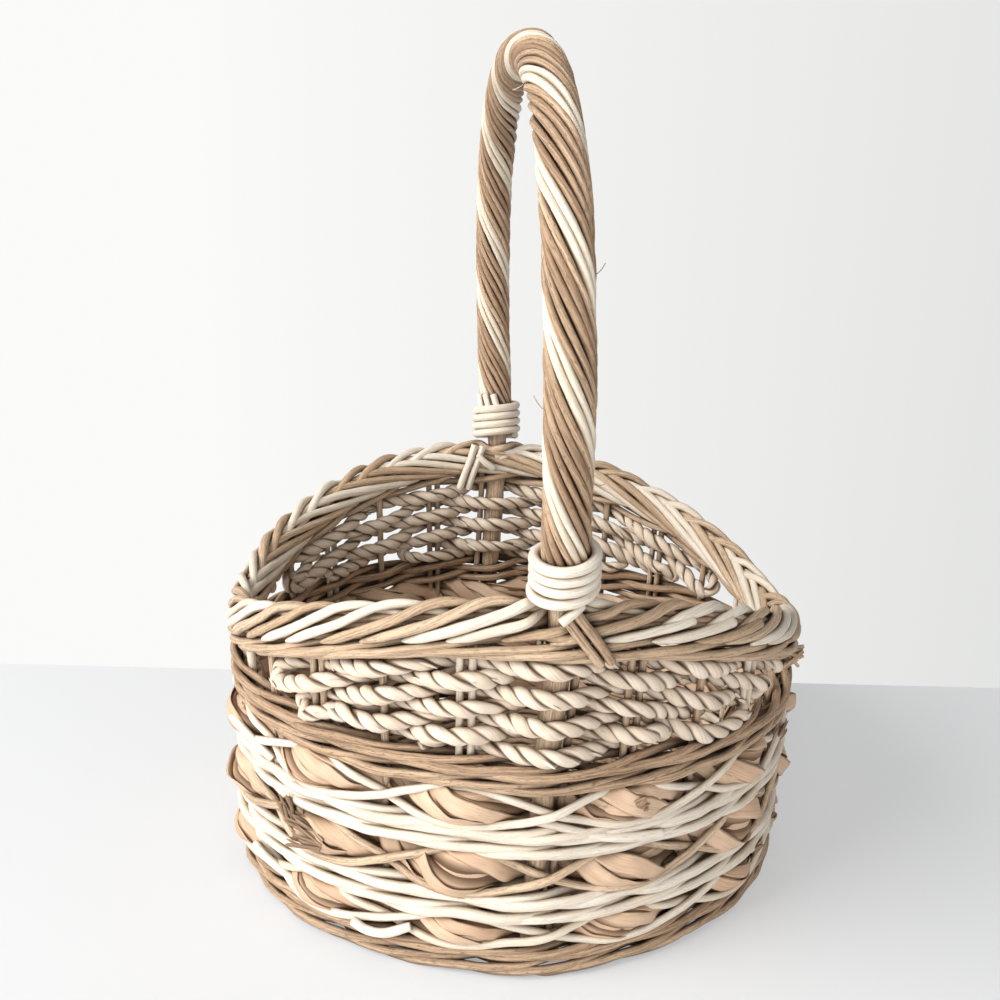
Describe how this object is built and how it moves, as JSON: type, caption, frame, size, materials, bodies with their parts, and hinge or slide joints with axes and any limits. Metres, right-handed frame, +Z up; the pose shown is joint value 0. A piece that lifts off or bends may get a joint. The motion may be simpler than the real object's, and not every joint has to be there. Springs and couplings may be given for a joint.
{
  "type": "woven basket",
  "caption": "Oval wicker basket with a fixed arched handle, woven bands of willow, twisted leaf and seagrass rope, and a rolled border.",
  "frame": {"origin": "on the ground, under the middle of the basket's outline", "axes": "+Z up, +X along the long side of the oval, +Y from the front foot of the handle to the back one"},
  "size_m": [0.3388, 0.3287, 0.461],
  "materials": {
    "cream_willow": "satin peeled willow",
    "tan_willow": "satin buff willow",
    "brown_willow": "satin brown willow",
    "twisted_leaf": "dry twisted leaf",
    "seagrass_rope": "dry two-ply rope"
  },
  "bodies": {
    "root": {"lower_fitching_rod": "cream_willow", "lower_cream_waling": "cream_willow", "upper_cream_waling": "cream_willow", "upper_fitching_rod": "cream_willow", "border_cream_rods": "cream_willow", "handle_cream_rods_a": "cream_willow", "handle_cream_rods_b": "cream_willow", "front_collar": "cream_willow", "back_collar": "cream_willow", "back_lashing_rod_1": "cream_willow", "back_lashing_rod_2": "cream_willow", "stake_04": "cream_willow", "stake_08": "cream_willow", "stake_12": "cream_willow", "stake_16": "cream_willow", "stake_20": "cream_willow", "stake_24": "cream_willow", "base_mat": "tan_willow", "middle_fitching_rod": "tan_willow", "rim_waling": "tan_willow", "border_tan_rods": "tan_willow", "handle_bow": "tan_willow", "stake_01": "tan_willow", "stake_02": "tan_willow", "stake_03": "tan_willow", "stake_05": "tan_willow", "stake_06": "tan_willow", "stake_07": "tan_willow", "stake_09": "tan_willow", "stake_10": "tan_willow", "stake_11": "tan_willow", "stake_13": "tan_willow", "stake_14": "tan_willow", "stake_15": "tan_willow", "stake_17": "tan_willow", "stake_18": "tan_willow", "stake_19": "tan_willow", "stake_21": "tan_willow", "stake_22": "tan_willow", "stake_23": "tan_willow", "foot_waling": "brown_willow", "dark_waling": "brown_willow", "handle_brown_rods_a": "brown_willow", "handle_brown_rods_b": "brown_willow", "front_lashing_rod_1": "brown_willow", "front_lashing_rod_2": "brown_willow", "base_long_stick_1": "brown_willow", "base_long_stick_2": "brown_willow", "base_long_stick_3": "brown_willow", "base_cross_stick_1": "brown_willow", "base_cross_stick_2": "brown_willow", "base_cross_stick_3": "brown_willow", "base_cross_stick_4": "brown_willow", "base_cross_stick_5": "brown_willow", "lower_leaf_rope": "twisted_leaf", "middle_leaf_rope": "twisted_leaf", "upper_leaf_rope": "twisted_leaf", "front_seagrass_rope": "seagrass_rope", "back_seagrass_rope": "seagrass_rope"}
  },
  "joints": []
}
